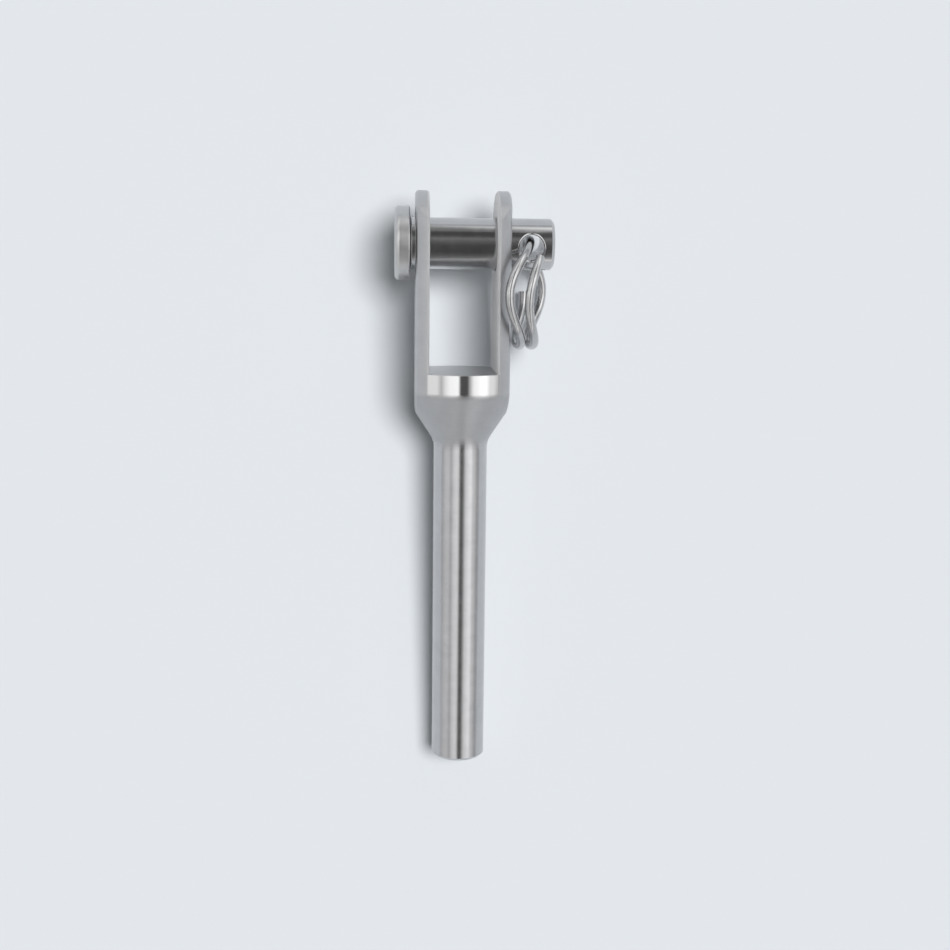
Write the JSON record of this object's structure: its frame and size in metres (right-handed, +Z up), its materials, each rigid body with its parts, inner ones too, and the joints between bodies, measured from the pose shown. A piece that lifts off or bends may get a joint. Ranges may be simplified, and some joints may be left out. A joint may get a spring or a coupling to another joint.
{
  "type": "wire rope fork terminal",
  "caption": "Stainless fork terminal for wire rope: a plain swage shank and cone behind a slotted fork, closed by a headed clevis pin with a split ring.",
  "frame": {"origin": "on the clevis pin's axis, in the middle of the fork's gap", "axes": "+X along the pin to its ring end, +Y to the tips of the ears, +Z up; the rope leaves along -Y"},
  "size_m": [0.0267, 0.0984, 0.02],
  "materials": {
    "terminal_steel": "polished stainless steel with fine turning marks, duller on the milled faces",
    "pin_steel": "bright turned stainless steel",
    "ring_wire": "bright drawn stainless wire"
  },
  "bodies": {
    "terminal": {"fork_terminal": "terminal_steel"},
    "pin": {"clevis_pin": "pin_steel"},
    "ring": {"split_ring": "ring_wire"}
  },
  "joints": [
    {"name": "pin_turn", "type": "hinge", "parent": "terminal", "child": "pin", "pos_m": [0, 0, 0], "axis": [1, 0, 0], "range_deg": [-245, 0]},
    {"name": "ring_swing", "type": "hinge", "parent": "pin", "child": "ring", "pos_m": [0.0114, 0, 0], "axis": [0, 0, 1], "range_deg": [0, 170]}
  ]
}
